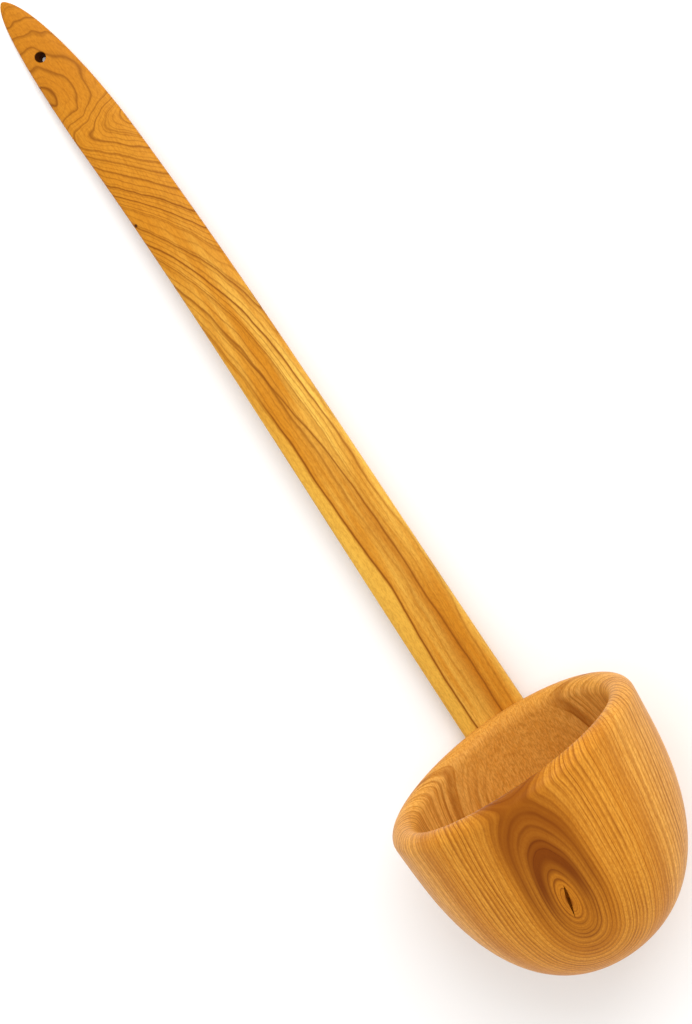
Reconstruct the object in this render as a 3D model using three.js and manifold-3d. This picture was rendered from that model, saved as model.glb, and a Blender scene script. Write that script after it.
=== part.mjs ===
// A plain wooden ladle lying on its back: a deep oval cup and a long flat handle whose lower end is
// let into a housing in the back of the cup and held there by two wooden pegs.
//
// Everything is modelled upright and then laid down by the group at the end. In the upright frame the
// origin is the centre of the mouth, +X is the front of the cup, +Y is sideways and +Z is up, out of
// the mouth. Lengths are millimetres and angles are radians.

import * as THREE from 'three';
import { mergeVertices } from 'three/addons/utils/BufferGeometryUtils.js';
import Module from 'manifold-3d';

const wasm = await Module();
wasm.setup();

// ---- Driving dimensions -------------------------------------------------------------------------

const GAP = 0.3; // between pieces that touch

const CUP = {
  radius: 45.2, // outside, just below the lip
  depth: 74.8, // outside, from the lip to the bottom
  power: 2.36, // 2 is an ellipse in section, larger is squarer
  wall: 9.2, // at the lip, which is a full round
  base: 10, // thickness at the bottom
  innerPower: 2.3,
  flare: 0.54, // how far the lip stands out past the wall
  flareReach: 10,
  saddle: 1.4, // the lip's rise at front and back
  skew: 0.4, // the lip's rise on one side and its fall on the other
  lipReach: 25, // how far down the lip's rise and fall are felt
  drift: 3.2, // sideways offset of the mouth from the bottom
};

const HANDLE = {
  length: 292.6, // along its curve, from the lip to the tip
  setBack: 45.4, // its middle behind the mouth's centre, level with the lip
  lean: 0.144, // backwards, where it leaves the cup
  turn: 0.241, // further backwards, from the lip to the tip
  sweep: 10.2, // sideways, at the tip
  widthAtCup: 23.2,
  widthAtTip: 18.4,
  thicknessAtCup: 6.5,
  thicknessAtTip: 4.4,
  tipLength: 60.2, // of the stretch that narrows to a point
  tipPower: 1.92,
  tongue: 46, // let into the cup, below the lip
  tongueRound: 11, // length of the tongue's rounded end
  edgePower: 3.4, // of the section: 2 is an ellipse, larger is squarer
  smallest: 0.8, // half-width and half-thickness that the ends keep
};

const HANG_HOLE = { radius: 1.85, fromTip: 24, offset: -1.4 };

// The pegs go through the tongue and `bite` into the cup's wall, `shy` of its back on the outside.
const PEG = { radius: 2.5, bite: 2.2, shy: 0.1, heights: [-13, -29] };

// How far the mouth looks up when the ladle lies on the back of its cup and on its tip.
const LYING_TILT = 0.2405;

const CUP_SIDES = 52;
const CUP_WALL_STEPS = 15;
const LIP_STEPS = 7;
const HANDLE_SIDES = 24;
const HANDLE_STEPS = 60;
const ROUND_SIDES = 24;
const FAR = 400; // larger than the whole ladle

// ---- From three.js geometry to solids and back --------------------------------------------------

function solidOf(geometry) {
  const bare = geometry.clone();
  bare.deleteAttribute('normal');
  bare.deleteAttribute('uv');
  const merged = mergeVertices(bare, 1e-4);
  return new wasm.Manifold(
    new wasm.Mesh({
      numProp: 3,
      vertProperties: new Float32Array(merged.attributes.position.array),
      triVerts: new Uint32Array(merged.index.array),
    }),
  );
}

function geometryOf(solid) {
  const mesh = solid.getMesh();
  const geometry = new THREE.BufferGeometry();
  geometry.setAttribute('position', new THREE.BufferAttribute(mesh.vertProperties, 3));
  geometry.setIndex(new THREE.BufferAttribute(mesh.triVerts, 1));
  geometry.computeVertexNormals();
  return geometry;
}

function movePoints(geometry, move) {
  const position = geometry.attributes.position;
  const point = new THREE.Vector3();
  for (let i = 0; i < position.count; i += 1) {
    point.fromBufferAttribute(position, i);
    move(point);
    position.setXYZ(i, point.x, point.y, point.z);
  }
  return geometry;
}

// ---- The cup ------------------------------------------------------------------------------------

// Radius of a wall that starts at `radius` at depth `top` and closes on the axis at depth `bottom`,
// following |r|^power + |depth|^power = 1. `share` runs from 0 at the top to 1 on the axis.
function wallPoint(share, radius, top, bottom, power) {
  const down = Math.sin((share * Math.PI) / 2);
  const across = (1 - down ** power) ** (1 / power);
  return new THREE.Vector2(share === 1 ? 0 : radius * across, top + down * (bottom - top));
}

function lipFlare(depth) {
  return CUP.flare * Math.exp(-((depth / CUP.flareReach) ** 2));
}

// The closed profile of the cup, as radius and depth: the outside from the axis up, round the lip and
// down the inside to the axis again.
function cupProfile() {
  const lip = CUP.wall / 2;
  const outside = [];
  const inside = [];
  for (let i = 0; i <= CUP_WALL_STEPS; i += 1) {
    const share = i / CUP_WALL_STEPS;
    outside.unshift(wallPoint(share, CUP.radius, lip, CUP.depth, CUP.power));
    inside.push(
      wallPoint(share, CUP.radius - CUP.wall, lip, CUP.depth - CUP.base, CUP.innerPower),
    );
  }
  const round = [];
  for (let i = 1; i < LIP_STEPS; i += 1) {
    const angle = (i / LIP_STEPS) * Math.PI;
    round.push(
      new THREE.Vector2(
        CUP.radius - lip + lip * Math.cos(angle),
        lip - lip * Math.sin(angle),
      ),
    );
  }
  const profile = [...outside, ...round, ...inside];
  for (const point of profile) {
    if (point.x > 0) point.x += lipFlare(point.y);
  }
  return profile;
}

// A carved cup isn't quite round or square: its lip rises at the front and back, stands a little
// higher on one side, and the mouth sits a little to one side of the bottom.
function carve(point) {
  const depth = -point.z;
  const radius = Math.hypot(point.x, point.y);
  const felt = Math.exp(-((depth / CUP.lipReach) ** 2));
  if (radius > 0) {
    const front = point.x / radius;
    const side = point.y / radius;
    point.z += felt * (CUP.saddle * front * front + CUP.skew * side);
  }
  point.y += CUP.drift * (1 - depth / CUP.depth);
}

function cupBlank() {
  const profile = cupProfile().map((point) => new THREE.Vector2(point.x, -point.y));
  const lathe = new THREE.LatheGeometry(profile, CUP_SIDES);
  lathe.rotateX(Math.PI / 2);
  return movePoints(lathe, carve);
}

// ---- The handle ---------------------------------------------------------------------------------

// Where the middle of the handle is at `along`, measured up its curve from the lip, and its angle
// there, which is negative because it leans back. Below the lip it is straight; above, it turns at a
// constant rate.
function handleMiddle(along) {
  const start = -HANDLE.lean;
  const above = Math.max(along, 0);
  const share = above / HANDLE.length;
  const angle = start - HANDLE.turn * share;
  const bend = -HANDLE.length / HANDLE.turn;
  const below = Math.min(along, 0);
  return {
    angle,
    point: new THREE.Vector3(
      -HANDLE.setBack + below * Math.sin(start) - bend * (Math.cos(angle) - Math.cos(start)),
      -HANDLE.sweep * share ** 4,
      below * Math.cos(start) + bend * (Math.sin(angle) - Math.sin(start)),
    ),
  };
}

// What is left of the width at `along`: it closes like an ellipse over the tip and over the tongue's
// end.
function endTaper(along) {
  const intoTip = (along - (HANDLE.length - HANDLE.tipLength)) / HANDLE.tipLength;
  const intoTongue = (HANDLE.tongueRound - HANDLE.tongue - along) / HANDLE.tongueRound;
  if (intoTip > 0) return Math.sqrt(Math.max(0, 1 - intoTip ** HANDLE.tipPower));
  if (intoTongue > 0) return Math.sqrt(Math.max(0, 1 - intoTongue ** 2));
  return 1;
}

// A point of the handle's section, at `turned` radians round it and `out` from 0 in the middle to 1
// on the surface: a superellipse in sideways and forward directions.
function handlePoint(along, turned, out, extra) {
  const middle = handleMiddle(along);
  const share = Math.max(along, 0) / HANDLE.length;
  const width = THREE.MathUtils.lerp(HANDLE.widthAtCup, HANDLE.widthAtTip, share);
  const thickness = THREE.MathUtils.lerp(HANDLE.thicknessAtCup, HANDLE.thicknessAtTip, share);
  const taper = endTaper(along);
  const halfWidth = Math.max(HANDLE.smallest, (width / 2) * taper) + extra;
  const c = Math.cos(turned);
  const s = Math.sin(turned);
  // Over the tip the face stays nearly as high, and it is the underside that rises.
  const thinning = s > 0 && along > 0 ? 0.05 : 0.3;
  const left = Math.max(taper, 0.01) ** thinning;
  const halfThickness = Math.max(HANDLE.smallest, (thickness / 2) * left) + extra;
  const power = 2 / HANDLE.edgePower;
  const sideways = out * halfWidth * Math.sign(c) * Math.abs(c) ** power;
  const forward = out * halfThickness * Math.sign(s) * Math.abs(s) ** power;
  return new THREE.Vector3(
    middle.point.x + forward * Math.cos(middle.angle),
    middle.point.y + sideways,
    middle.point.z - forward * Math.sin(middle.angle),
  );
}

// The whole handle, tongue included, as a cylinder of radius 1 bent and flattened. `extra` makes it
// larger all round, to cut the housing.
function handleBlank(extra) {
  const rod = new THREE.CylinderGeometry(1, 1, 1, HANDLE_SIDES, HANDLE_STEPS);
  const whole = HANDLE.tongue + HANDLE.length + 2 * extra;
  return movePoints(rod, (point) => {
    const even = point.y + 0.5;
    const share = even - (0.7 * Math.sin(2 * Math.PI * even)) / (2 * Math.PI);
    const along = share * whole - HANDLE.tongue - extra;
    const held = THREE.MathUtils.clamp(along, -HANDLE.tongue, HANDLE.length);
    const turned = Math.atan2(point.x, -point.z);
    const end = handlePoint(held, turned, Math.hypot(point.x, point.z), extra);
    const angle = handleMiddle(along).angle;
    point.set(
      end.x + (along - held) * Math.sin(angle),
      end.y,
      end.z + (along - held) * Math.cos(angle),
    );
  });
}

// A round bar of `radius` that points forward out of the handle's face at `along`, from `back` to
// `front` measured from the handle's middle.
function crossBar(along, offset, radius, back, front) {
  const bar = new THREE.CylinderGeometry(radius, radius, front - back, ROUND_SIDES);
  const middle = handleMiddle(along);
  bar.translate(0, (front + back) / 2, 0);
  bar.rotateZ(-Math.PI / 2);
  bar.rotateY(middle.angle);
  return bar.translate(middle.point.x, middle.point.y + offset, middle.point.z);
}

// ---- The pieces ---------------------------------------------------------------------------------

// Laid on its back the ladle turns about Y until its mouth faces -X and a little up.
const layDown = new THREE.Matrix4().makeRotationY(LYING_TILT - Math.PI / 2);

function lyingBox(solid) {
  const box = new THREE.Box3();
  return box.setFromBufferAttribute(
    geometryOf(solid).applyMatrix4(layDown).attributes.position,
  );
}

const cup = solidOf(cupBlank());
const floor = lyingBox(cup).min.z;

// Everything below the surface that the ladle lies on.
function belowFloor(depth) {
  const block = new THREE.BoxGeometry(2 * FAR, FAR, FAR);
  block.translate(0, 0, floor + depth - FAR / 2);
  return solidOf(block.applyMatrix4(layDown.clone().invert()));
}

const halfThickness = HANDLE.thicknessAtCup / 2;

function pegBar(height, radius, back, bite) {
  return solidOf(crossBar(height, 0, radius, -back, halfThickness + bite));
}

const hangHole = solidOf(
  crossBar(
    HANDLE.length - HANG_HOLE.fromTip,
    HANG_HOLE.offset,
    HANG_HOLE.radius,
    -HANDLE.thicknessAtCup,
    HANDLE.thicknessAtCup,
  ),
);

let bowl = cup.subtract(solidOf(handleBlank(GAP)));
let handle = solidOf(handleBlank(0)).subtract(belowFloor(0)).subtract(hangHole);
const pegs = PEG.heights.map((height) => {
  const bore = pegBar(height, PEG.radius + GAP, HANDLE.thicknessAtCup, PEG.bite + GAP);
  bowl = bowl.subtract(bore);
  handle = handle.subtract(bore);
  const peg = pegBar(height, PEG.radius, halfThickness - PEG.shy, PEG.bite);
  return peg.subtract(belowFloor(PEG.shy));
});

// ---- The ladle ----------------------------------------------------------------------------------

const cupWood = new THREE.MeshStandardMaterial({ color: 0xc8893f, roughness: 0.42, metalness: 0 });
const handleWood = new THREE.MeshStandardMaterial({ color: 0xdca048, roughness: 0.42, metalness: 0 });
const pegWood = new THREE.MeshStandardMaterial({ color: 0xd8aa6a, roughness: 0.5, metalness: 0 });

function piece(name, solid, material) {
  const mesh = new THREE.Mesh(geometryOf(solid), material);
  mesh.name = name;
  return mesh;
}

const ladle = new THREE.Group();
ladle.add(piece('bowl', bowl, cupWood));
ladle.add(piece('handle', handle, handleWood));
ladle.add(piece('upper_peg', pegs[0], pegWood));
ladle.add(piece('lower_peg', pegs[1], pegWood));

ladle.rotation.y = LYING_TILT - Math.PI / 2;
const whole = lyingBox(bowl).union(lyingBox(handle));
const centre = whole.getCenter(new THREE.Vector3());
ladle.position.set(-centre.x, -centre.y, -whole.min.z);
ladle.updateMatrixWorld(true);

export default ladle;
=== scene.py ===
"""A plain wooden ladle lying on its back: a deep oval cup, a long flat handle and two wooden pegs.

Shapes are worked out upright, in millimetres: the origin is the middle of the mouth, +X the front
of the cup, +Y sideways and +Z up, out of the mouth. `Lie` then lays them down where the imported
model is.
"""

import logging
import math
from dataclasses import dataclass, field
from enum import Enum
from typing import Sequence

import bpy
import numpy as np
from mathutils import Matrix, Vector


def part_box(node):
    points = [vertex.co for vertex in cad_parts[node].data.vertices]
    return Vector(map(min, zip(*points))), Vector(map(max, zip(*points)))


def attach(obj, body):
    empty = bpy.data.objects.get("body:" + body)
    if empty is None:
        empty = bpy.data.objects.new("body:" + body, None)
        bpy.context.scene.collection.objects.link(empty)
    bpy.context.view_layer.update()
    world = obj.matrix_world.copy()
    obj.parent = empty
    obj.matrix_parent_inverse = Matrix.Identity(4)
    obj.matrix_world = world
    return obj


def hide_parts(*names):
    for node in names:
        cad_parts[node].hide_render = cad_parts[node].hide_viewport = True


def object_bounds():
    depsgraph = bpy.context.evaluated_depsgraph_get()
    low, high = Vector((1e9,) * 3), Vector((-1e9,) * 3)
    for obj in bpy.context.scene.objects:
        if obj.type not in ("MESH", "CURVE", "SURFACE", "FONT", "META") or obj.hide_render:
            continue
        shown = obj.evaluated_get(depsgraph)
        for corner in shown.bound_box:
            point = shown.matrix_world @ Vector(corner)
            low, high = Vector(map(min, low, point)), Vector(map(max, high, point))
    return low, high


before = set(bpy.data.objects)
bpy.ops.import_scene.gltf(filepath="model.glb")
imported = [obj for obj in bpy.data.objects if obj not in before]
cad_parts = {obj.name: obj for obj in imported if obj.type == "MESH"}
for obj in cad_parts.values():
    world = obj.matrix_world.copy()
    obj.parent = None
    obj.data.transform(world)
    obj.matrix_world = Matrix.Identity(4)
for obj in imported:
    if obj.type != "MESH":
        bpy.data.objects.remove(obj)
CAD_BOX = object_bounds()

logging.basicConfig(level=logging.INFO, format="%(levelname)s %(message)s")
log = logging.getLogger("ladle")

BODY = "root"
MM = 0.001
SHARP_ANGLE = math.radians(38.0)

Triple = tuple[float, float, float]
Colour = Triple
Pair = tuple[float, float]
Piece = bpy.types.Object
Tree = bpy.types.NodeTree
Node = bpy.types.Node
Socket = bpy.types.NodeSocket


class Slot(Enum):
    """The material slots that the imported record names."""

    CUP = "cup_wood"
    HANDLE = "handle_wood"
    PEG = "peg_wood"


# ---- Arrays to meshes ----


def smooth_step(values: np.ndarray, low: float, high: float) -> np.ndarray:
    """Rises from 0 at `low` to 1 at `high` as 3t^2 - 2t^3.

    Args:
        values: Where to work it out.
        low: Where it leaves 0.
        high: Where it reaches 1.

    Returns:
        The values, between 0 and 1, in the same shape.
    """
    share = np.clip((values - low) / (high - low), 0.0, 1.0)
    return share * share * (3.0 - 2.0 * share)


def linked(name: str, data: bpy.types.ID) -> Piece:
    """Makes an object of a mesh, light or camera and puts it in the scene."""
    made = bpy.data.objects.new(name, data)
    bpy.context.scene.collection.objects.link(made)
    return made


def closed_mesh(name: str, rows: np.ndarray) -> Piece:
    """Makes a closed solid from rings of points, with a fan on the middle of each end's ring.

    Args:
        name: The new object's name.
        rows: Rings by points by 3, in metres. Each ring runs once round and isn't repeated.

    Returns:
        The linked object, with its faces pointing outwards.
    """
    rings, around = rows.shape[:2]
    poles = np.stack([rows[0].mean(axis=0), rows[-1].mean(axis=0)])
    points = np.concatenate([rows.reshape(-1, 3), poles])
    here = np.arange(around)
    after = (here + 1) % around
    start = np.arange(rings - 1)[:, None] * around
    beyond = start + around
    quads = np.stack([start + here, start + after, beyond + after, beyond + here], axis=-1)
    quads = quads.reshape(-1, 4)
    pole, last = np.full(around, rings * around), (rings - 1) * around
    fan_in = np.stack([pole, after, here], axis=-1)
    fan_out = np.stack([pole + 1, last + here, last + after], axis=-1)
    fans = np.concatenate([fan_in, fan_out])
    triangles = np.concatenate([fans, quads[:, :3], quads[:, [0, 2, 3]]])
    corners = points[triangles]
    if np.einsum("ij,ij->", corners[:, 0], np.cross(corners[:, 1], corners[:, 2])) < 0.0:
        quads, fans = quads[:, ::-1], fans[:, ::-1]
    mesh = bpy.data.meshes.new(name)
    mesh.from_pydata(points.tolist(), [], quads.tolist() + fans.tolist())
    mesh.update()
    return linked(name, mesh)


def points_of(piece: Piece) -> np.ndarray:
    """Returns a piece's vertices as an array of points by 3, in metres."""
    flat = np.empty(len(piece.data.vertices) * 3, dtype=np.float32)
    piece.data.vertices.foreach_get("co", flat)
    return flat.reshape(-1, 3).astype(float)


def unit(x: float, y: float, z: float) -> np.ndarray:
    """Returns a vector of length 1 in the given direction."""
    way = np.array([x, y, z])
    return way / np.linalg.norm(way)


def write_vectors(piece: Piece, name: str, vectors: np.ndarray) -> None:
    """Stores one vector for each vertex under `name`, for the material to read."""
    layer = piece.data.attributes.new(name, "FLOAT_VECTOR", "POINT")
    layer.data.foreach_set("vector", vectors.astype(np.float32).ravel())


def cut_away(piece: Piece, cutters: Sequence[Piece]) -> None:
    """Cuts solids out of a piece, one after the other, and removes them.

    Args:
        piece: The solid that keeps what is left.
        cutters: The solids that are taken out of it.
    """
    for tool in cutters:
        cut = piece.modifiers.new("cut", "BOOLEAN")
        cut.operation = "DIFFERENCE"
        cut.solver = "EXACT"
        cut.object = tool
    graph = bpy.context.evaluated_depsgraph_get()
    result = bpy.data.meshes.new_from_object(piece.evaluated_get(graph))
    piece.modifiers.clear()
    old, piece.data = piece.data, result
    bpy.data.meshes.remove(old)
    for tool in cutters:
        bpy.data.objects.remove(tool)


def finish_surface(piece: Piece) -> None:
    """Shades a piece smooth, apart from its corners."""
    piece.data.shade_smooth()
    piece.data.set_sharp_from_angle(angle=SHARP_ANGLE)


# ---- Node wiring ----


@dataclass
class Wiring:
    """Adds and joins nodes in one tree."""

    tree: Tree

    def add(self, kind: str, *terms: object, **settings: object) -> Node:
        """Adds a node of `kind`, sets its properties and feeds its first inputs."""
        node = self.tree.nodes.new(kind)
        for key, value in settings.items():
            setattr(node, key, value)
        for socket, term in zip(node.inputs, terms):
            self.feed(socket, term)
        return node

    def feed(self, socket: Socket, source: object) -> None:
        """Links `source` to a socket if it is a socket, and otherwise sets it as the value."""
        if isinstance(source, Socket):
            self.tree.links.new(source, socket)
        elif isinstance(source, tuple) and len(source) == 3 and socket.type == "RGBA":
            socket.default_value = (*source, 1.0)
        else:
            socket.default_value = source

    def feed_named(self, node: Node, values: dict[str, object]) -> Node:
        """Feeds a node's inputs by name, and returns the node."""
        for name, value in values.items():
            self.feed(node.inputs[name], value)
        return node

    def maths(self, operation: str, *terms: object) -> Socket:
        """Returns the result of a Math node on up to three sockets or numbers."""
        return self.add("ShaderNodeMath", *terms, operation=operation).outputs[0]

    def vectors(self, operation: str, *terms: object) -> Socket:
        """Returns the vector result of a Vector Math node."""
        return self.add("ShaderNodeVectorMath", *terms, operation=operation).outputs["Vector"]

    def length(self, vector: Socket) -> Socket:
        """Returns a vector's length."""
        return self.add("ShaderNodeVectorMath", vector, operation="LENGTH").outputs["Value"]

    def split(self, vector: Socket) -> tuple[Socket, ...]:
        """Returns a vector's three parts."""
        return tuple(self.add("ShaderNodeSeparateXYZ", vector).outputs)

    def join(self, x: object, y: object, z: object) -> Socket:
        """Returns a vector made of three parts."""
        return self.add("ShaderNodeCombineXYZ", x, y, z).outputs[0]

    def times(self, first: object, *others: object) -> Socket:
        """Returns the product of two or more sockets or numbers."""
        for other in others:
            first = self.maths("MULTIPLY", first, other)
        return first

    def swung(self, value: Socket, noise: Socket, amount: object) -> Socket:
        """Returns value + amount (noise - 0.5), so a value moved either way."""
        return self.maths("MULTIPLY_ADD", self.maths("SUBTRACT", noise, 0.5), amount, value)

    def noise(self, vector: Socket, stretch: Triple, detail: float, rough: float = 0.5) -> Socket:
        """Returns smooth noise between 0 and 1, `stretch` waves to the unit along each axis."""
        node = self.add("ShaderNodeTexNoise", noise_dimensions="3D")
        place = self.vectors("MULTIPLY", vector, stretch)
        self.feed_named(node, {"Vector": place, "Scale": 1.0, "Detail": detail, "Roughness": rough})
        return node.outputs["Fac"]

    def wander(self, value: Socket, scale: float, detail: float) -> Socket:
        """Returns smooth noise between 0 and 1 along one number."""
        node = self.add("ShaderNodeTexNoise", noise_dimensions="1D")
        self.feed_named(node, {"W": value, "Scale": scale, "Detail": detail})
        return node.outputs["Fac"]

    def step(self, value: object, low: float, high: float, to: Pair = (0.0, 1.0)) -> Socket:
        """Returns a smooth change from `to[0]` at `low` to `to[1]` at `high`."""
        node = self.add("ShaderNodeMapRange", interpolation_type="SMOOTHSTEP")
        self.feed_named(node, {"Value": value, "From Min": low, "From Max": high})
        self.feed_named(node, {"To Min": to[0], "To Max": to[1]})
        return node.outputs["Result"]

    def bell(self, value: object, middle: float, width: float) -> Socket:
        """Returns exp(-((value - middle) / width)^2)."""
        away = self.maths("DIVIDE", self.maths("SUBTRACT", value, middle), width)
        return self.maths("EXPONENT", self.times(away, away, -1.0))

    def stained(self, colour: object, *layers: Sequence[object]) -> Socket:
        """Returns `colour` after each layer in turn, a tint and the masks whose product it has."""
        for tint, *masks in layers:
            node = self.add("ShaderNodeMix", data_type="RGBA", blend_type="MIX")
            self.feed(node.inputs["Factor"], self.times(*masks))
            for socket, part in zip(node.inputs[6:8], (colour, tint)):
                self.feed(socket, part)
            colour = node.outputs[2]
        return colour

    def named(self, attribute: str) -> Socket:
        """Returns a vector attribute that the mesh carries."""
        return self.add("ShaderNodeAttribute", attribute_name=attribute).outputs["Vector"]

    def group(self, shared: Tree, **values: object) -> Node:
        """Places a shared group and feeds its named inputs."""
        return self.feed_named(self.add("ShaderNodeGroup", node_tree=shared), values)

    def output(self, shader: Node) -> None:
        """Shows a shader on the surface."""
        end = self.add("ShaderNodeOutputMaterial")
        self.tree.links.new(shader.outputs["BSDF"], end.inputs["Surface"])


@dataclass
class SharedEffects:
    """The effects that more than one wood uses, each built once as a node group."""

    rings: Tree = field(init=False)
    fibres: Tree = field(init=False)

    def __post_init__(self) -> None:
        """Builds both groups."""
        self.rings = self._rings()
        self.fibres = self._fibres()

    @staticmethod
    def _new(
        name: str, inputs: Sequence[tuple[str, str, object]], outputs: Sequence[str]
    ) -> tuple[Tree, Node, Node]:
        """Makes an empty group with named sockets.

        Args:
            name: The group's name.
            inputs: Name, socket type and default of each input.
            outputs: The name of each output, a number.

        Returns:
            The group, its input node and its output node.
        """
        tree = bpy.data.node_groups.new(name, "ShaderNodeTree")
        for label, kind, default in inputs:
            socket = tree.interface.new_socket(label, in_out="INPUT", socket_type=kind)
            if default is not None:
                socket.default_value = default
        for label in outputs:
            tree.interface.new_socket(label, in_out="OUTPUT", socket_type="NodeSocketFloat")
        return tree, tree.nodes.new("NodeGroupInput"), tree.nodes.new("NodeGroupOutput")

    def _rings(self) -> Tree:
        """Growth rings: a thin line where each year ends, after a slow darkening, all a bit uneven.

        Line is up to 1 on a line, falling off slower before it than after it, and differs in
        strength from year to year. Shade rises over each year's growth.
        """
        after_width, uneven, stronger, faintest, darkening = 0.45, 1.3, 0.7, 0.3, 2.4
        tree, given, result = self._new(
            "growth rings",
            (("Ring", "NodeSocketFloat", 0.0), ("Thin", "NodeSocketFloat", 0.1)),
            ("Line", "Shade"),
        )
        w = Wiring(tree)
        ring, thin = given.outputs["Ring"], given.outputs["Thin"]
        share = w.maths("FRACT", ring)
        pick = w.add("ShaderNodeTexWhiteNoise", noise_dimensions="1D")
        w.feed(pick.inputs["W"], w.maths("FLOOR", ring))
        before = w.maths("DIVIDE", w.maths("SUBTRACT", 1.0, share), thin)
        after = w.maths("DIVIDE", share, w.times(thin, after_width))
        near = w.maths("MINIMUM", before, after)
        fall = w.maths("EXPONENT", w.times(near, near, -1.0))
        chance = w.maths("POWER", pick.outputs["Value"], uneven)
        amount = w.maths("MULTIPLY_ADD", chance, stronger, faintest)
        w.feed(result.inputs["Line"], w.times(fall, amount))
        w.feed(result.inputs["Shade"], w.maths("POWER", share, darkening))
        return tree

    def _fibres(self) -> Tree:
        """Fibres and pores of wood, at a place whose X runs along the grain, in millimetres.

        Streak is the long soft streaks, Fleck the small flecks and Pore the fine open pores.
        """
        tree, given, result = self._new(
            "fibres", (("Place", "NodeSocketVector", None),), ("Streak", "Fleck", "Pore")
        )
        w = Wiring(tree)
        place = given.outputs["Place"]
        w.feed(result.inputs["Streak"], w.noise(place, (0.045, 1.3, 1.3), 3.0, 0.6))
        w.feed(result.inputs["Fleck"], w.noise(place, (0.60, 2.2, 2.2), 2.0, 0.65))
        w.feed(result.inputs["Pore"], w.step(w.noise(place, (0.5, 5.0, 5.0), 1.0), 0.60, 0.72))
        return tree


# ---- Finishes ----


@dataclass(frozen=True)
class Satin:
    """How a clear oiled surface takes the light."""

    roughness: float = 0.40
    uneven: float = 0.07
    coat: float = 0.02
    coat_roughness: float = 0.30
    specular: float = 0.05
    relief: float = 0.12
    relief_depth: float = 0.0002

    def apply(self, w: Wiring, colour: Socket, height: Socket, rough: Socket) -> None:
        """Puts the shader together in the material.

        Args:
            w: The material's wiring.
            colour: The wood's colour.
            height: The fibres' relief, 0 to 1.
            rough: Small changes of roughness, 0 to 1.
        """
        shader = w.add("ShaderNodeBsdfPrincipled")
        bump = w.add("ShaderNodeBump")
        ends = (self.roughness - self.uneven, self.roughness + self.uneven)
        w.feed_named(bump, {
            "Strength": self.relief,
            "Distance": self.relief_depth,
            "Height": height,
        })
        w.feed_named(shader, {
            "Base Color": colour,
            "Roughness": w.step(rough, 0.2, 0.8, ends),
            "Normal": bump.outputs["Normal"],
            "Specular IOR Level": self.specular,
            "Coat Weight": self.coat,
            "Coat Roughness": self.coat_roughness,
        })
        w.output(shader)


def new_material(name: str) -> tuple[bpy.types.Material, Wiring]:
    """Returns an empty node material and the wiring of its tree."""
    material = bpy.data.materials.new(name)
    material.use_nodes = True
    material.node_tree.nodes.clear()
    return material, Wiring(material.node_tree)


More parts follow.
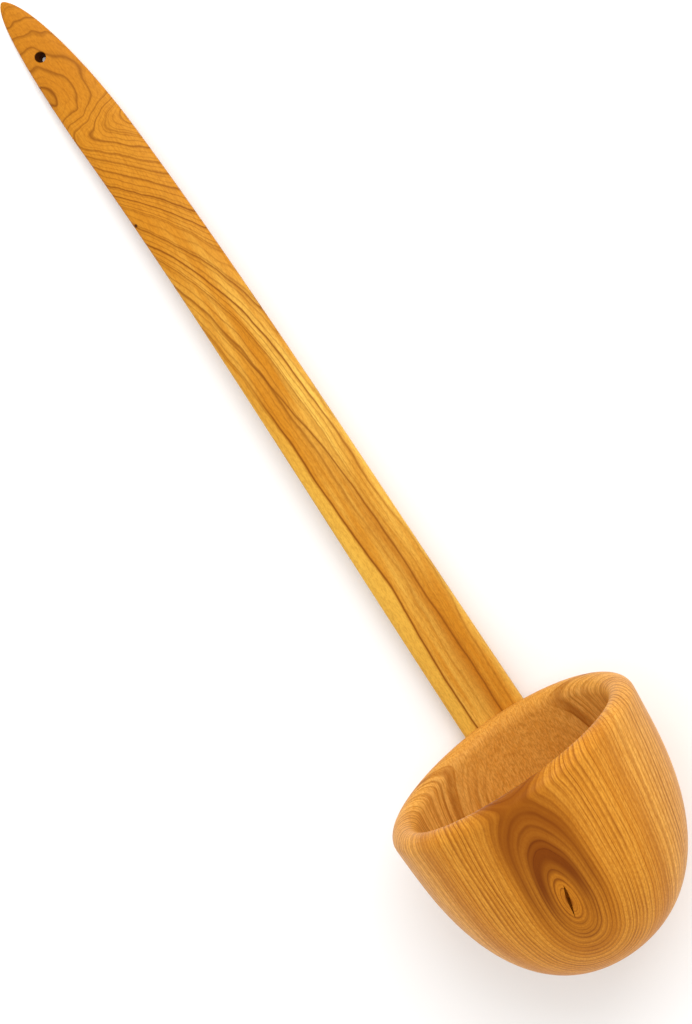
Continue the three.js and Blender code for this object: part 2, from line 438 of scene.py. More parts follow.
@dataclass(frozen=True)
class CupWood:
    """Orange-brown fruitwood: oval growth rings round a dark heart that comes out at the front.

    The number of rings within a distance d of the heart is
    even d + (near - even) reach (1 - exp(-d / reach)). Every length is in millimetres. A pair is
    where something starts and where it is complete, and a halo's or the core's is its middle and
    its width.
    """

    light: Colour = (0.79, 0.350, 0.042)
    deep: Colour = (0.56, 0.195, 0.012)
    line: Colour = (0.23, 0.053, 0.002)
    heart: Colour = (0.125, 0.021, 0.001)
    pale: Colour = (0.86, 0.46, 0.105)
    near_rings: float = 1.05
    even_rings: float = 0.60
    ring_reach: float = 9.0
    ring_sway: float = 2.2
    slow_wave: float = 3.0
    ripple: float = 0.8
    round_heart: Pair = (0.0, 9.0)
    back_wall: Pair = (-22.0, -32.0)
    back_side: float = 3.0
    back_width: Pair = (23.0, 12.0)
    sapwood: Pair = (24.0, 48.0)
    heartwood: Pair = (14.0, 6.0)
    dark_lines: Pair = (16.0, 8.0)
    inner_halo: Pair = (5.8, 2.1)
    outer_halo: Pair = (10.5, 1.8)
    halo_rise: Pair = (-12.0, 10.0)
    crown: Pair = (19.0, 10.0)
    crown_rise: Pair = (6.0, 26.0)
    core: Pair = (0.0, 0.9)
    core_length: Pair = (-3.0, 10.0)
    satin: Satin = Satin()

    def distance(self, w: Wiring, pith: Socket, straight: Socket) -> Socket:
        """Works out how far a point is from the heart, by the wood's own wavy measure.

        Args:
            w: The material's wiring.
            pith: Along the heart in X and away from it in Y and Z.
            straight: The plain distance from the heart.

        Returns:
            The plain distance plus slow and quick waves, which fade out at the heart.
        """
        slow = w.noise(pith, (0.012, 0.04, 0.04), 1.0)
        quick = w.noise(pith, (0.03, 0.16, 0.16), 1.0)
        waves = w.times(w.maths("SUBTRACT", quick, 0.5), self.ripple)
        waves = w.swung(waves, slow, self.slow_wave)
        return w.maths("MULTIPLY_ADD", waves, w.step(straight, *self.round_heart), straight)

    def rings(self, w: Wiring, away: Socket) -> Socket:
        """Counts the growth rings from the heart out to the distance `away`."""
        uneven = w.times(w.maths("SUBTRACT", w.wander(away, 0.21, 2.0), 0.5), self.ring_sway)
        closing = w.maths("EXPONENT", w.maths("DIVIDE", away, -self.ring_reach))
        more = (self.near_rings - self.even_rings) * self.ring_reach
        extra = w.times(w.maths("SUBTRACT", 1.0, closing), more)
        count = w.maths("MULTIPLY_ADD", away, self.even_rings, extra)
        return w.maths("ADD", count, uneven)

    def material(self, shared: SharedEffects) -> bpy.types.Material:
        """Builds the material.

        It reads `pith`, which runs along the heart in X and away from it in Y and Z, and `shape`,
        which is the place on the upright cup.
        """
        material, w = new_material("cup wood")
        pith = w.named("pith")
        along, across, up = w.split(pith)
        front, side, _ = w.split(w.named("shape"))
        straight = w.length(w.join(0.0, across, up))
        away = self.distance(w, pith, straight)
        count = self.rings(w, away)
        rings = w.group(shared.rings, Ring=count, Thin=0.26)
        finer = w.group(shared.rings, Ring=w.maths("MULTIPLY_ADD", count, 2.3, 0.4), Thin=0.30)
        fibres = w.group(shared.fibres, Place=pith)
        streak, fleck, pore = (fibres.outputs[name] for name in ("Streak", "Fleck", "Pore"))

        # The wall behind the front lip is plain and stippled; its darker tint is painted shade in
        # the cup's hollow.
        aside = w.maths("ABSOLUTE", w.maths("SUBTRACT", side, self.back_side))
        back = w.times(w.step(front, *self.back_wall), w.step(aside, *self.back_width))
        plain = w.maths("SUBTRACT", 1.0, w.times(back, 0.85))
        # The dark ovals, the darker wood above them and the heart's own thin core.
        halo = w.maths("ADD", w.times(w.bell(away, *self.inner_halo), 0.92),
                       w.times(w.bell(away, *self.outer_halo), 0.55))
        above = w.times(w.step(away, *self.crown), w.step(along, *self.crown_rise))
        core = w.times(w.bell(straight, *self.core), w.bell(along, *self.core_length))
        # The rings' lines are worn in places, and darker round the heart.
        worn = w.step(w.noise(pith, (0.03, 0.12, 0.12), 2.0), 0.30, 0.62)
        dark = w.stained(self.line, (self.heart, w.step(away, *self.dark_lines)))
        colour = w.stained(
            self.light,
            (self.deep, w.step(w.wander(away, 0.14, 3.0), 0.34, 0.68), plain),
            (self.pale, w.step(away, *self.sapwood, (0.0, 0.7))),
            (self.deep, rings.outputs["Shade"], w.times(plain, 0.42)),
            (self.deep, w.step(streak, 0.38, 0.68), 0.45),
            (self.deep, w.step(away, *self.heartwood, (0.0, 0.75))),
            (self.heart, halo, w.step(along, *self.halo_rise, (0.25, 1.0))),
            (self.line, above, 0.5),
            (self.heart, core, 0.85),
            (dark, w.times(rings.outputs["Line"], plain),
             w.maths("MULTIPLY_ADD", worn, 0.45, 0.42)),
            (self.line, finer.outputs["Line"], plain, 0.42),
            # Painted shade: the deep tint darkens the inner back wall under the front lip.
            (self.deep, back, 0.35),
            (self.line, w.step(fleck, 0.36, 0.68), w.maths("MULTIPLY_ADD", back, 0.12, 0.25)),
            (self.line, pore, 0.22),
        )
        sunk = w.maths("ADD", w.times(pore, 0.5), w.times(rings.outputs["Line"], 0.4))
        self.satin.apply(w, colour, w.maths("SUBTRACT", streak, sunk), fleck)
        return material


@dataclass(frozen=True)
class HandleWood:
    """Golden yellow wood with a few fine brown growth lines, and painted shade in the hanging hole.

    Every length is in millimetres. A pair is where something starts and where it is complete, and
    a line's pair is where it runs and its width. The brown band's edge bends away at `edge_bend`.
    """

    light: Colour = (0.84, 0.490, 0.082)
    deep: Colour = (0.58, 0.222, 0.014)
    line: Colour = (0.21, 0.058, 0.003)
    band: Colour = (0.47, 0.155, 0.008)
    pale: Colour = (0.78, 0.44, 0.060)
    # Painted shade on the hanging hole's walls; on the knot the same dark is the knot's own colour.
    bore: Colour = (0.055, 0.014, 0.003)
    deeper: Pair = (150.0, 205.0)
    brown_tip: Pair = (236.0, 262.0)
    wavy_tip: Pair = (215.0, 245.0)
    pale_edge: Pair = (-5.4, -6.6)
    pale_length: Pair = (150.0, 95.0)
    edge_bend: float = 100.0
    edge_spread: float = 15.0
    edge_slope: float = 2.5
    edge_line: Pair = (4.2, 0.32)
    crisp_line: Pair = (-5.5, 0.34)
    crisp_end: Pair = (134.0, 118.0)
    lines_grow: Pair = (60.0, 150.0)
    knot: Triple = (201.8, -8.9, 1.4)
    knot_edge: Pair = (0.95, 0.45)
    satin: Satin = Satin(roughness=0.42)

    def material(self, shared: SharedEffects) -> bpy.types.Material:
        """Builds the material.

        It reads `grain`, which runs along the handle, across it and through it, and `figure`,
        whose X counts growth lines, whose Y is how far across the figure a point is and whose Z is
        1 in the hanging hole.
        """
        material, w = new_material("handle wood")
        grain = w.named("grain")
        along, across, _ = w.split(grain)
        count, over, bored = w.split(w.named("figure"))
        ripple = w.noise(grain, (0.07, 0.17, 0.17), 1.0)
        count = w.swung(count, ripple, w.step(along, *self.wavy_tip, (0.45, 1.2)))
        rings = w.group(shared.rings, Ring=count, Thin=0.12)
        finer = w.group(shared.rings, Ring=w.maths("MULTIPLY_ADD", count, 2.6, 0.3), Thin=0.16)
        fibres = w.group(shared.fibres, Place=grain)
        streak, fleck, pore = (fibres.outputs[name] for name in ("Streak", "Fleck", "Pore"))

        cloud = w.noise(grain, (0.012, 0.16, 0.16), 2.0)
        # A paler edge on one side of the lower half, with a crisp line by it.
        sway = w.swung(over, ripple, 1.3)
        outer = w.times(w.step(sway, *self.pale_edge), w.step(along, *self.pale_length))
        crisp = w.times(w.bell(sway, *self.crisp_line), w.step(along, *self.crisp_end))
        # A brown band on the other side. Its edge leaves along log(1 + exp(distance)).
        rise = w.maths("DIVIDE", w.maths("SUBTRACT", along, self.edge_bend), self.edge_spread)
        rise = w.maths("LOGARITHM", w.maths("ADD", w.maths("EXPONENT", rise), 1.0), math.e)
        edge = w.swung(w.maths("MULTIPLY_ADD", rise, self.edge_slope, across), ripple, 1.4)
        brown = w.times(w.step(edge, -2.2, 3.6), w.step(edge, 5.6, 4.0))
        ended = w.times(w.bell(edge, *self.edge_line), w.step(along, 170.0, 140.0))
        # Growth lines are fainter near the cup, and the finer ones near the tip too.
        growing = w.times(w.step(along, *self.lines_grow, (0.15, 0.7)),
                          w.step(along, 250.0, 230.0, (0.4, 1.0)))
        knot = w.step(w.length(w.vectors("SUBTRACT", grain, self.knot)), *self.knot_edge)
        colour = w.stained(
            self.light,
            (self.deep, w.step(cloud, 0.38, 0.72)),
            (self.deep, w.step(along, *self.deeper, (0.0, 0.92))),
            (self.band, w.step(along, *self.brown_tip, (0.0, 0.55))),
            (self.deep, rings.outputs["Shade"], 0.45),
            (self.band, w.step(streak, 0.40, 0.68), 0.34),
            (self.pale, outer, 0.75),
            (self.band, brown, w.step(along, 135.0, 70.0, (0.0, 0.8))),
            (self.line, ended, 0.8),
            (self.line, rings.outputs["Line"], w.step(along, *self.lines_grow, (0.35, 1.0))),
            (self.line, finer.outputs["Line"], growing),
            (self.line, crisp, 0.95),
            (self.line, w.step(fleck, 0.38, 0.68), 0.24),
            (self.line, pore, 0.18),
            # Painted shade in the hanging hole, and the knot's own dark wood.
            (self.bore, w.maths("MAXIMUM", bored, knot)),
        )
        self.satin.apply(w, colour, w.maths("SUBTRACT", streak, w.times(pore, 0.5)), fleck)
        return material


@dataclass(frozen=True)
class PegWood:
    """Pale end grain, with the glue's thin dark ring round it."""

    light: Colour = (0.58, 0.30, 0.10)
    dark: Colour = (0.36, 0.14, 0.035)
    from_heart: float = 6.0
    ring_pitch: float = 1.3
    glue: Pair = (2.2, 2.5)
    satin: Satin = Satin(roughness=0.5, coat=0.08)

    def material(self, shared: SharedEffects) -> bpy.types.Material:
        """Builds the material from `turned`: along the peg in X, off its axis in Y and Z."""
        material, w = new_material("peg wood")
        turned = w.named("turned")
        _, across, up = w.split(turned)
        away = w.length(w.join(0.0, w.maths("ADD", across, self.from_heart), up))
        rings = w.group(shared.rings, Ring=w.times(away, self.ring_pitch), Thin=0.2)
        fibres = w.group(shared.fibres, Place=turned)
        rim = w.step(w.length(w.join(0.0, across, up)), *self.glue)
        masks = ((rings.outputs["Line"], 0.7), (fibres.outputs["Pore"], 0.6), (rim, 0.7))
        colour = w.stained(self.light, *((self.dark, *mask) for mask in masks))
        self.satin.apply(w, colour, fibres.outputs["Fleck"], fibres.outputs["Fleck"])
        return material


# ---- Shapes ----


@dataclass
class Lie:
    """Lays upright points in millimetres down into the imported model's frame, in metres."""

    tilt: float = 0.2405
    shift: np.ndarray = field(default_factory=lambda: np.zeros(3))

    def turned(self, points: np.ndarray) -> np.ndarray:
        """Turns points about Y until the mouth faces -X and up by the tilt."""
        x, y, z = np.moveaxis(points, -1, 0)
        c, s = math.cos(self.tilt), math.sin(self.tilt)
        return np.stack([s * x - c * z, y, c * x + s * z], axis=-1)

    def down(self, points: np.ndarray) -> np.ndarray:
        """Lays points down, in metres."""
        return self.turned(points) * MM + self.shift

    def upright(self, points: np.ndarray) -> np.ndarray:
        """Undoes `down`."""
        x, y, z = np.moveaxis((points - self.shift) / MM, -1, 0)
        c, s = math.cos(self.tilt), math.sin(self.tilt)
        return np.stack([s * x + c * z, y, s * z - c * x], axis=-1)

    def settle(self, cup_points: np.ndarray) -> None:
        """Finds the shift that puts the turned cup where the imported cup's box is.

        Args:
            cup_points: The upright cup's points.
        """
        low, high = (np.array(corner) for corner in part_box("bowl"))
        laid = self.turned(cup_points).reshape(-1, 3) * MM
        middle = (low + high - laid.min(axis=0) - laid.max(axis=0)) / 2.0
        top = high - laid.max(axis=0)
        self.shift = np.array([top[0], middle[1], top[2]])


def underground(wider: float = 2.0, depth: float = 0.05) -> Piece:
    """Makes a block below the level that the ladle lies on, which planes its underside flat.

    Args:
        wider: How many times as wide and long as the ladle's box it is.
        depth: How deep it is, in metres.

    Returns:
        The block.
    """
    (west, south, level), (east, north, _) = CAD_BOX
    ring = wider * np.array([(west, south), (east, south), (east, north), (west, north)])
    rows = [np.column_stack([ring, np.full(4, height)]) for height in (level - depth, level)]
    return closed_mesh("underground", np.array(rows))


@dataclass
class Cup:
    """The deep oval cup: a closed profile carried round, then carved a little out of true.

    `skew` is the lip's rise on one side, `drift` how far the mouth sits to that side, and `heart`
    where the tree's heart comes out. The split's directions run along it and out of the wood, and
    its sizes are halves.
    """

    lie: Lie
    radius: float = 45.17
    depth: float = 74.8
    power: float = 2.36
    wall: float = 9.2
    base: float = 10.0
    inner_power: float = 2.3
    flare: float = 0.54
    flare_reach: float = 10.0
    saddle: float = 1.4
    skew: float = 0.4
    lip_reach: float = 25.0
    drift: float = 3.2
    around: int = 224
    wall_steps: int = 84
    lip_steps: int = 20
    near_axis: float = 0.004
    heart: Triple = (41.7, -0.3, -37.7)
    heart_tilt: float = 0.10
    heart_yaw: float = 0.09
    heart_bend: float = 0.003
    split_way: Triple = (-3.2, -3.8, -13.9)
    split_out: Triple = (1.0, 0.0, -0.25)
    split_length: float = 7.0
    split_width: float = 0.52
    split_depth: float = 2.8

    def profile(self) -> np.ndarray:
        """The closed profile, as radius and depth, from the axis outside to the axis inside.

        Each wall follows |radius|^power + |depth|^power = 1 between the lip and the axis, and the
        lip is half a circle. Steps are even in the angle, so they close up towards the axis.
        """
        lip = self.wall / 2.0
        share = np.linspace(self.near_axis, 1.0, self.wall_steps)

        def wall(radius: float, bottom: float, power: float) -> np.ndarray:
            """One wall, from the axis up to the lip."""
            down = np.cos(share * np.pi / 2.0)
            across = np.maximum(1.0 - down**power, 0.0) ** (1.0 / power)
            return np.stack([radius * across, lip + down * (bottom - lip)], axis=-1)

        outside = wall(self.radius, self.depth, self.power)
        inside = wall(self.radius - self.wall, self.depth - self.base, self.inner_power)[::-1]
        turn = np.linspace(0.0, np.pi, self.lip_steps + 2)[1:-1]
        top = np.stack([self.radius - lip + lip * np.cos(turn), lip - lip * np.sin(turn)], axis=-1)
        rows = np.concatenate([outside, top, inside])
        flared = np.exp(-((rows[:, 1] / self.flare_reach) ** 2)) * (rows[:, 0] > 1.0)
        rows[:, 0] += self.flare * flared
        return rows

    def carved(self) -> np.ndarray:
        """The upright surface, rings by points by 3.

        The lip rises with the square of the cosine at front and back and with the sine on one side,
        both fading downwards as exp(-(depth / reach)^2), and the mouth drifts sideways.
        """
        rows = self.profile()
        turn = np.linspace(0.0, 2.0 * np.pi, self.around, endpoint=False)
        radius, depth = rows[:, :1], rows[:, 1:]
        felt = np.exp(-((depth / self.lip_reach) ** 2))
        x = radius * np.cos(turn)
        y = radius * np.sin(turn) + self.drift * (1.0 - depth / self.depth)
        z = felt * (self.saddle * np.cos(turn) ** 2 + self.skew * np.sin(turn)) - depth
        return np.stack([x, y, z], axis=-1)

    def heart_frame(self) -> np.ndarray:
        """Rows of unit vectors: along the heart of the tree, and two across it."""
        along = unit(-math.tan(self.heart_tilt), math.tan(self.heart_yaw), 1.0)
        across = unit(*np.cross(along, [1.0, 0.0, 0.0]))
        return np.stack([along, across, np.cross(along, across)])

    def shake(self) -> Piece:
        """The small split at the heart, a lens: widest near its top and drawn out downwards.

        Rings run along the split, with t from -1 to 1 along it. The width follows
        (1 - t^2)^1.2 (1 - 0.85 t), and the depth follows 1 - t^2.
        """
        along = unit(*self.split_way)
        out = np.array(self.split_out)
        out = unit(*(out - out.dot(along) * along))
        side = np.cross(along, out)
        t = np.linspace(-0.999, 0.999, 27)[:, None]
        turn = np.linspace(0.0, 2.0 * np.pi, 16, endpoint=False)[None, :]
        width = self.split_width * (1.0 - t**2) ** 1.2 * (1.0 - 0.85 * t)
        deep = self.split_depth * (1.0 - t**2)
        middle = np.array(self.heart) + 0.9 * along
        points = (
            middle
            + (t * self.split_length)[..., None] * along
            + (deep * np.sin(turn))[..., None] * out
            + (width * np.cos(turn))[..., None] * side
        )
        return closed_mesh("shake", self.lie.down(points))

    def build(self, cutters: Sequence[Piece]) -> Piece:
        """Makes the cup with its housing, bores and heart split.

        Args:
            cutters: The tongue and the pegs, a little larger, to cut out.

        Returns:
            The cup, ready for its material.
        """
        piece = closed_mesh("cup", self.lie.down(self.carved()))
        cut_away(piece, [*cutters, self.shake()])
        place = self.lie.upright(points_of(piece))
        write_vectors(piece, "shape", place)
        pith = (place - np.array(self.heart)) @ self.heart_frame().T
        pith[:, 2] -= self.heart_bend * np.maximum(pith[:, 0], 0.0) ** 2
        write_vectors(piece, "pith", pith)
        finish_surface(piece)
        return piece


@dataclass
class Handle:
    """The long flat handle: a rounded section carried along an arc, closing at tip and tongue.

    Distances along it start at the lip. The `figure_` numbers say where its growth lines start to
    turn across it and how fast, and `eye` is the middle of the loops near the tip.
    """

    lie: Lie
    length: float = 292.6
    set_back: float = 45.4
    lean: float = 0.144
    turn: float = 0.241
    sweep: float = 10.2
    width_at_cup: float = 23.2
    width_at_tip: float = 18.4
    thickness_at_cup: float = 6.5
    thickness_at_tip: float = 4.4
    tip_length: float = 60.2
    tip_power: float = 1.92
    tongue: float = 46.0
    tongue_round: float = 11.0
    edge_power: float = 3.4
    around: int = 112
    steps: int = 400
    hole_radius: float = 1.85
    hole_from_tip: float = 24.0
    hole_offset: float = -1.4
    hole_depth: float = 3.4
    hole_eased_from: float = 1.75
    hole_narrows: float = 0.85
    hole_slant: Pair = (0.5, -0.65)
    slack: float = 0.05
    figure_turn: float = 190.0
    figure_spread: float = 20.0
    figure_slope: float = 1.15
    line_spacing: float = 5.0
    first_line: float = -5.5
    loops_from: Pair = (231.0, 247.0)
    eye: Pair = (256.0, -9.0)
    eye_size: Pair = (13.5, 12.0)

    def middle(self, along: np.ndarray) -> tuple[np.ndarray, np.ndarray]:
        """Where the middle of the handle is, and its angle there.

        Above the lip it is an arc: the angle falls evenly from -lean, and the place is its
        integral. Below the lip it is straight.

        Args:
            along: Distances up the curve from the lip.

        Returns:
            The angle forwards, and the points.
        """
        start = -self.lean
        share = np.maximum(along, 0.0) / self.length
        angle = start - self.turn * share
        bend = -self.length / self.turn
        below = np.minimum(along, 0.0)
        x = -self.set_back + below * math.sin(start) - bend * (np.cos(angle) - math.cos(start))
        z = below * math.cos(start) + bend * (np.sin(angle) - math.sin(start))
        return angle, np.stack([x, -self.sweep * share**4, z], axis=-1)

    def taper(self, along: np.ndarray) -> np.ndarray:
        """What is left of the width: it closes like an ellipse over the tip and tongue's end."""
        tip = np.clip((along - (self.length - self.tip_length)) / self.tip_length, 0.0, 1.0)
        low = np.clip((self.tongue_round - self.tongue - along) / self.tongue_round, 0.0, 1.0)
        return np.sqrt(1.0 - tip**self.tip_power) * np.sqrt(1.0 - low**2)

    def section(self) -> np.ndarray:
        """The section's outline at even steps, sideways and forward, each from -1 to 1.

        It is the superellipse |sideways|^p + |forward|^p = 1.
        """
        turned = np.linspace(0.0, 2.0 * np.pi, 4001)
        c, s = np.cos(turned), np.sin(turned)
        power = 2.0 / self.edge_power
        curve = np.stack([np.sign(part) * np.abs(part) ** power for part in (c, s)], axis=-1)
        step = np.diff(curve, axis=0) * np.array([self.width_at_cup, self.thickness_at_cup])
        walked = np.concatenate([[0.0], np.cumsum(np.hypot(step[:, 0], step[:, 1]))])
        even = np.linspace(0.0, walked[-1], self.around, endpoint=False)
        return np.stack([np.interp(even, walked, curve[:, k]) for k in (0, 1)], axis=-1)

    def rings(self, along: np.ndarray, extra: float) -> np.ndarray:
        """The section carried along the arc, rings by points by 3, upright.

        Over the tip the face stays nearly as high, and it is the underside that rises: the
        half-thickness is taper^0.05 on the face and taper^0.3 below.

        Args:
            along: Where the rings are.
            extra: How much larger the section is, all round.

        Returns:
            The points.
        """
        angle, middle = self.middle(along)
        share = np.maximum(along, 0.0) / self.length
        taper = self.taper(along)
        face = np.where(along > 0.0, np.maximum(taper, 0.01) ** 0.05, taper**0.3)
        width = self.width_at_cup + (self.width_at_tip - self.width_at_cup) * share
        thickness = self.thickness_at_cup + (self.thickness_at_tip - self.thickness_at_cup) * share
        outline = self.section()
        thinning = np.where(outline[None, :, 1] > 0.0, face[:, None], (taper**0.3)[:, None])
        sideways = (width / 2.0 * taper + extra)[:, None] * outline[None, :, 0]
        forward = (thickness[:, None] / 2.0 * thinning + extra) * outline[None, :, 1]
        turned = np.stack([np.cos(angle), np.zeros_like(angle), -np.sin(angle)], axis=-1)
        points = middle[:, None, :] + forward[..., None] * turned[:, None, :]
        points[..., 1] += sideways
        return points

    def bar(
        self,
        along: float,
        offset: float,
        front: float,
        back: float,
        radii: Sequence[float],
        slant: Pair = (0.0, 0.0),
    ) -> Piece:
        """A round bar through the handle at right angles to its face.

        Args:
            along: Where it is.
            offset: How far to the side.
            front: Where its front end is, from the handle's middle.
            back: Where its back end is.
            radii: Its radius at even steps from back to front.
            slant: How far its axis moves sideways and up the handle on its way to the back. It
                starts 1 mm in front of the handle's middle and is complete 2.2 mm behind it.

        Returns:
            The bar, a solid.
        """
        angle, middle = self.middle(np.array([along]))
        turn = np.linspace(0.0, 2.0 * np.pi, 48, endpoint=False)
        forward = np.array([math.cos(angle[0]), 0.0, -math.sin(angle[0])])
        up = np.array([math.sin(angle[0]), 0.0, math.cos(angle[0])])
        side = np.array([0.0, 1.0, 0.0])
        radius = np.asarray(radii, dtype=float)[:, None, None]
        reach = np.linspace(back, front, len(radii))[:, None, None]
        ring = np.cos(turn)[None, :, None] * side + np.sin(turn)[None, :, None] * up
        late = np.clip((1.0 - reach) / 3.2, 0.0, 1.0)
        shift = offset * side + late * (slant[0] * side + slant[1] * up)
        points = middle[0] + shift + reach * forward + radius * ring
        return closed_mesh("bar", self.lie.down(points))

    def hole(self) -> Piece:
        """The hanging hole's cutter: narrower and slanted towards the back, eased at the front."""
        reach = np.linspace(-self.hole_depth, self.hole_depth, 41)
        edge = np.maximum(reach - self.hole_eased_from, 0.0)
        narrow = self.hole_narrows * np.clip(0.55 - reach / 3.6, 0.0, 1.0)
        return self.bar(
            self.length - self.hole_from_tip,
            self.hole_offset,
            self.hole_depth,
            -self.hole_depth,
            self.hole_radius - narrow + 0.9 * edge**2,
            self.hole_slant,
        )

    def housing(self) -> Piece:
        """The tongue a little larger, which is cut out of the cup."""
        above_lip = 14.0
        rounded = self.tongue_round * (1.0 - np.cos(np.linspace(0.03, np.pi / 2, 20)))
        straight = np.linspace(self.tongue_round + 1.0, above_lip + self.tongue, 40)
        along = np.concatenate([rounded, straight]) - self.tongue
        return closed_mesh("housing", self.lie.down(self.rings(along, self.slack)))

    def straightened(self, points: np.ndarray) -> np.ndarray:
        """Turns upright points back into distances along, across and through the handle.

        The arc's middle lies behind the handle, so the angle about it gives the distance along, and
        the distance from it gives the depth.
        """
        radius = self.length / self.turn
        start = -self.lean
        x = points[:, 0] + self.set_back + radius * math.cos(start)
        z = points[:, 2] - radius * math.sin(start)
        angle = np.arctan2(-z, x)
        along = (-angle - self.lean) * radius
        through = np.hypot(x, z) - radius
        low = along < 0.0
        shift = points[:, 0] + self.set_back
        along[low] = (shift * math.sin(start) + points[:, 2] * math.cos(start))[low]
        through[low] = (shift * math.cos(start) - points[:, 2] * math.sin(start))[low]
        across = points[:, 1] + self.sweep * (np.maximum(along, 0.0) / self.length) ** 4
        return np.stack([along, across, through], axis=-1)

    def figure(self, grain: np.ndarray) -> np.ndarray:
        """The growth lines' count, how far across the figure a point is, and the hole's mask.

        Lines run along the handle near the cup and turn across it higher up: across plus
        slope spread log(1 + exp((along - turn) / spread)), with a gentle bend 54 mm above the lip.
        Their spacing is uneven. Round a small eye near the tip they close into loops, counted by
        the distance from it.

        Args:
            grain: Distances along, across and through the handle.

        Returns:
            The three numbers for each point.
        """
        along, across, through = grain.T
        late = np.logaddexp(0.0, (along - self.figure_turn) / self.figure_spread)
        sway = 0.35 - 1.55 * np.exp(-(((along - 54.0) / 20.0) ** 2))
        over = across + self.figure_slope * self.figure_spread * late + sway
        over += 0.35 * (through - 2.8)
        order = np.arange(-3, 36)
        gaps = self.line_spacing * (1.0 + 0.22 * np.sin(1.7 * order) + 0.16 * np.sin(4.1 * order))
        edges = np.cumsum(gaps)
        edges += self.first_line - edges[3]
        count = np.interp(over, edges, order.astype(float))
        from_eye = (grain[:, :2] - np.array(self.eye)) / np.array(self.eye_size)
        loops = np.hypot(from_eye[:, 0], from_eye[:, 1])
        upper = smooth_step(along, *self.loops_from)
        count = count * (1.0 - upper) + (4.85 + 2.7 * np.hypot(loops, 0.75)) * upper
        # Where the bore is, for the painted shade on the hole's walls.
        hole = np.hypot(along - (self.length - self.hole_from_tip), across - self.hole_offset)
        bored = 1.0 - smooth_step(hole, self.hole_radius + 0.02, self.hole_radius + 0.14)
        return np.stack([count, over, bored], axis=-1)

    def build(self, cutters: Sequence[Piece]) -> Piece:
        """Makes the handle, planed flat where it lies, with its hole and bores.

        Its rings lie even - 0.98 sin(2 pi even) / 2 pi of the way along, so they crowd together at
        both ends.

        Args:
            cutters: The pegs, a little larger, to cut out.

        Returns:
            The handle, ready for its material.
        """
        even = np.linspace(0.0, 1.0, self.steps)
        share = even - 0.98 * np.sin(2.0 * np.pi * even) / (2.0 * np.pi)
        share = np.clip(share, 2e-5, 1.0 - 3e-4)
        along = share * (self.tongue + self.length) - self.tongue
        piece = closed_mesh("handle", self.lie.down(self.rings(along, 0.0)))
        cut_away(piece, [underground(), *cutters, self.hole()])
        grain = self.straightened(self.lie.upright(points_of(piece)))
        write_vectors(piece, "grain", grain)
        write_vectors(piece, "figure", self.figure(grain))
        finish_surface(piece)
        return piece


@dataclass
class Peg:
    """A wooden peg through the tongue: straight, with eased ends, a little shy of the flat."""

    handle: Handle
    name: str
    height: float
    radius: float = 2.5
    bite: float = 2.2
    shy: float = 0.1
    ease: float = 0.35
    slack: float = 0.05
    open_back: float = -8.0

    def cutter(self) -> Piece:
        """The bore for the peg, a hair larger and open at the back."""
        front = self.handle.thickness_at_cup / 2.0 + self.bite + self.slack
        radii = (self.radius + self.slack,) * 2
        return self.handle.bar(self.height, 0.0, front, self.open_back, radii)

    def build(self) -> Piece:
        """Makes the peg, planed with the tongue's flat. Its ends are eased by a quarter circle."""
        half = self.handle.thickness_at_cup / 2.0
        front, back = half + self.bite, self.shy - half
        reach = np.linspace(back, front, 61)
        near_end = np.maximum(self.ease - np.minimum(reach - back, front - reach), 0.0)
        left = np.sqrt(np.maximum(self.ease**2 - near_end**2, 0.0))
        radii = self.radius - (self.ease - left)
        piece = self.handle.bar(self.height, 0.0, front, back, radii)
        piece.name = piece.data.name = self.name
        points = points_of(piece)
        grain = self.handle.straightened(self.handle.lie.upright(points))
        points[:, 2] = np.maximum(points[:, 2], CAD_BOX[0][2] + self.shy * MM)
        piece.data.vertices.foreach_set("co", points.astype(np.float32).ravel())
        place = np.stack([grain[:, 2], grain[:, 1], grain[:, 0] - self.height], axis=-1)
        write_vectors(piece, "turned", place)
        finish_surface(piece)
        return piece


# ---- The studio ----


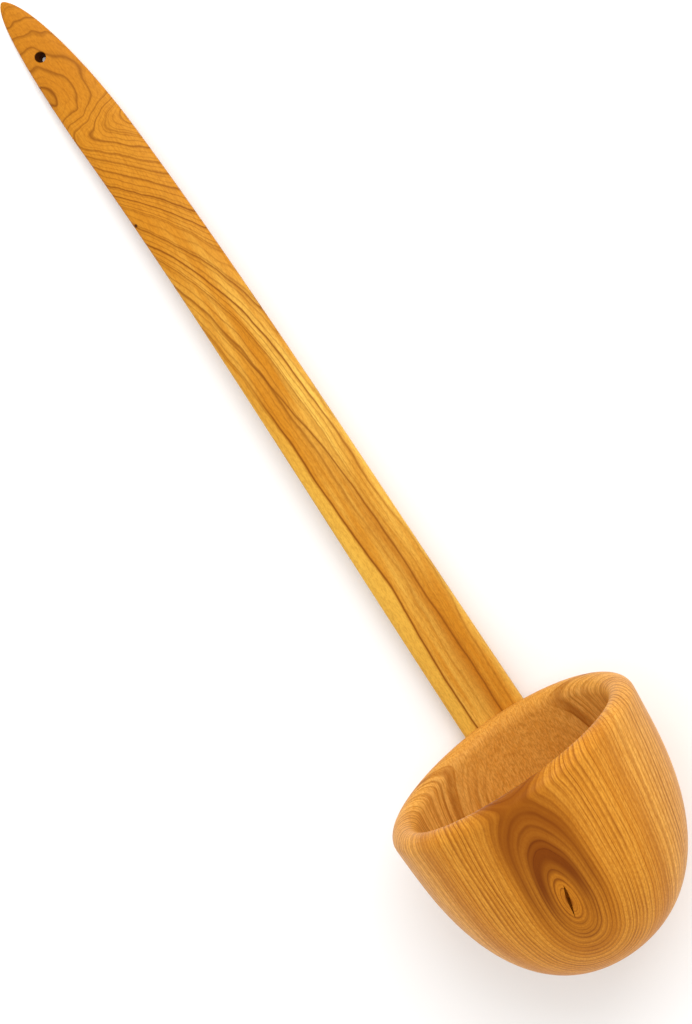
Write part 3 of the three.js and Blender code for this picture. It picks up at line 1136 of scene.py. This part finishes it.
@dataclass
class Studio:
    """A pale floor, soft light from one side, and the camera."""

    target: Triple = (0.02120, -0.00390, 0.030)
    azimuth: float = math.radians(68.70)
    elevation: float = math.radians(81.03)
    roll: float = math.radians(101.65)
    distance: float = 0.9979
    lens: float = 108.33
    light_azimuth: float = math.radians(140.0)
    light_elevation: float = math.radians(50.0)
    light_distance: float = 1.5
    light_size: float = 1.3
    light_power: float = 15.0
    sky: float = 0.97
    floor_colour: Colour = (0.925, 0.92, 0.91)
    floor_half: float = 4.0
    floor_gap: float = 0.00005

    @staticmethod
    def way(azimuth: float, elevation: float) -> Vector:
        """Returns the direction at an azimuth and an elevation."""
        level = math.cos(elevation)
        return Vector(
            (level * math.cos(azimuth), level * math.sin(azimuth), math.sin(elevation))
        )

    def camera(self) -> None:
        """Places the camera round the target and rolls it about its line of sight."""
        back = self.way(self.azimuth, self.elevation)
        level = self.way(self.azimuth, self.elevation + math.pi / 2.0)
        side = level.cross(back)
        up = level * math.cos(self.roll) + side * math.sin(self.roll)
        right = up.cross(back)
        view = Matrix((right, up, back)).transposed().to_4x4()
        view.translation = Vector(self.target) + back * self.distance
        data = bpy.data.cameras.new("camera")
        data.sensor_width = 36.0
        data.lens = self.lens
        camera = linked("camera", data)
        camera.matrix_world = view
        bpy.context.scene.camera = camera

    def light(self) -> None:
        """Hangs a large square light that faces the ladle."""
        way = self.way(self.light_azimuth, self.light_elevation)
        data = bpy.data.lights.new("window", "AREA")
        data.shape = "SQUARE"
        data.size = self.light_size
        data.energy = self.light_power
        lamp = linked("window", data)
        lamp.location = Vector(self.target) + way * self.light_distance
        lamp.rotation_euler = way.to_track_quat("Z", "Y").to_euler()

    def sky_light(self) -> None:
        """Fills the room with even white light."""
        world = bpy.data.worlds.new("room")
        world.use_nodes = True
        backdrop = world.node_tree.nodes["Background"]
        backdrop.inputs["Color"].default_value = (1.0, 1.0, 1.0, 1.0)
        backdrop.inputs["Strength"].default_value = self.sky
        bpy.context.scene.world = world

    def floor(self) -> None:
        """Lays the floor under the lowest point."""
        half, level = self.floor_half, CAD_BOX[0][2] - self.floor_gap
        ring = ((-half, -half), (half, -half), (half, half), (-half, half))
        mesh = bpy.data.meshes.new("floor")
        mesh.from_pydata([(x, y, level) for x, y in ring], [], [(0, 1, 2, 3)])
        material, w = new_material("floor")
        shader = w.add("ShaderNodeBsdfPrincipled")
        look = {"Base Color": self.floor_colour, "Roughness": 0.9, "Specular IOR Level": 0.1}
        w.output(w.feed_named(shader, look))
        mesh.materials.append(material)
        linked("floor", mesh)

    def build(self) -> None:
        """Sets up camera, light and floor."""
        self.camera()
        self.light()
        self.sky_light()
        self.floor()
        bpy.context.scene.view_settings.view_transform = "Standard"


# ---- The ladle ----


@dataclass
class Ladle:
    """The whole ladle, piece by piece."""

    shared: SharedEffects
    lie: Lie = field(default_factory=Lie)
    peg_heights: Pair = (-13.0, -29.0)

    def place(
        self, piece: Piece, node: str, slot: Slot, material: bpy.types.Material
    ) -> None:
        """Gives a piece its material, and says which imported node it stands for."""
        piece.data.materials.clear()
        piece.data.materials.append(material)
        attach(piece, BODY)
        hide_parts(node)
        log.info("%s stands for %s, %d faces", piece.name, node, len(piece.data.polygons))

    def build(self) -> None:
        """Builds cup, handle and pegs in that order."""
        cup = Cup(self.lie)
        self.lie.settle(cup.carved())
        handle = Handle(self.lie)
        names = ("upper_peg", "lower_peg")
        pegs = [
            Peg(handle, f"turned_{name}", height) for name, height in zip(names, self.peg_heights)
        ]
        self.place(
            cup.build([handle.housing(), *(peg.cutter() for peg in pegs)]),
            "bowl", Slot.CUP, CupWood().material(self.shared),
        )
        self.place(
            handle.build([peg.cutter() for peg in pegs]),
            "handle", Slot.HANDLE, HandleWood().material(self.shared),
        )
        peg_wood = PegWood().material(self.shared)
        for name, peg in zip(names, pegs):
            self.place(peg.build(), name, Slot.PEG, peg_wood)


def main() -> None:
    """Builds the studio and the ladle, and reports each piece."""
    Studio().build()
    Ladle(SharedEffects()).build()


if __name__ == "__main__":
    main()
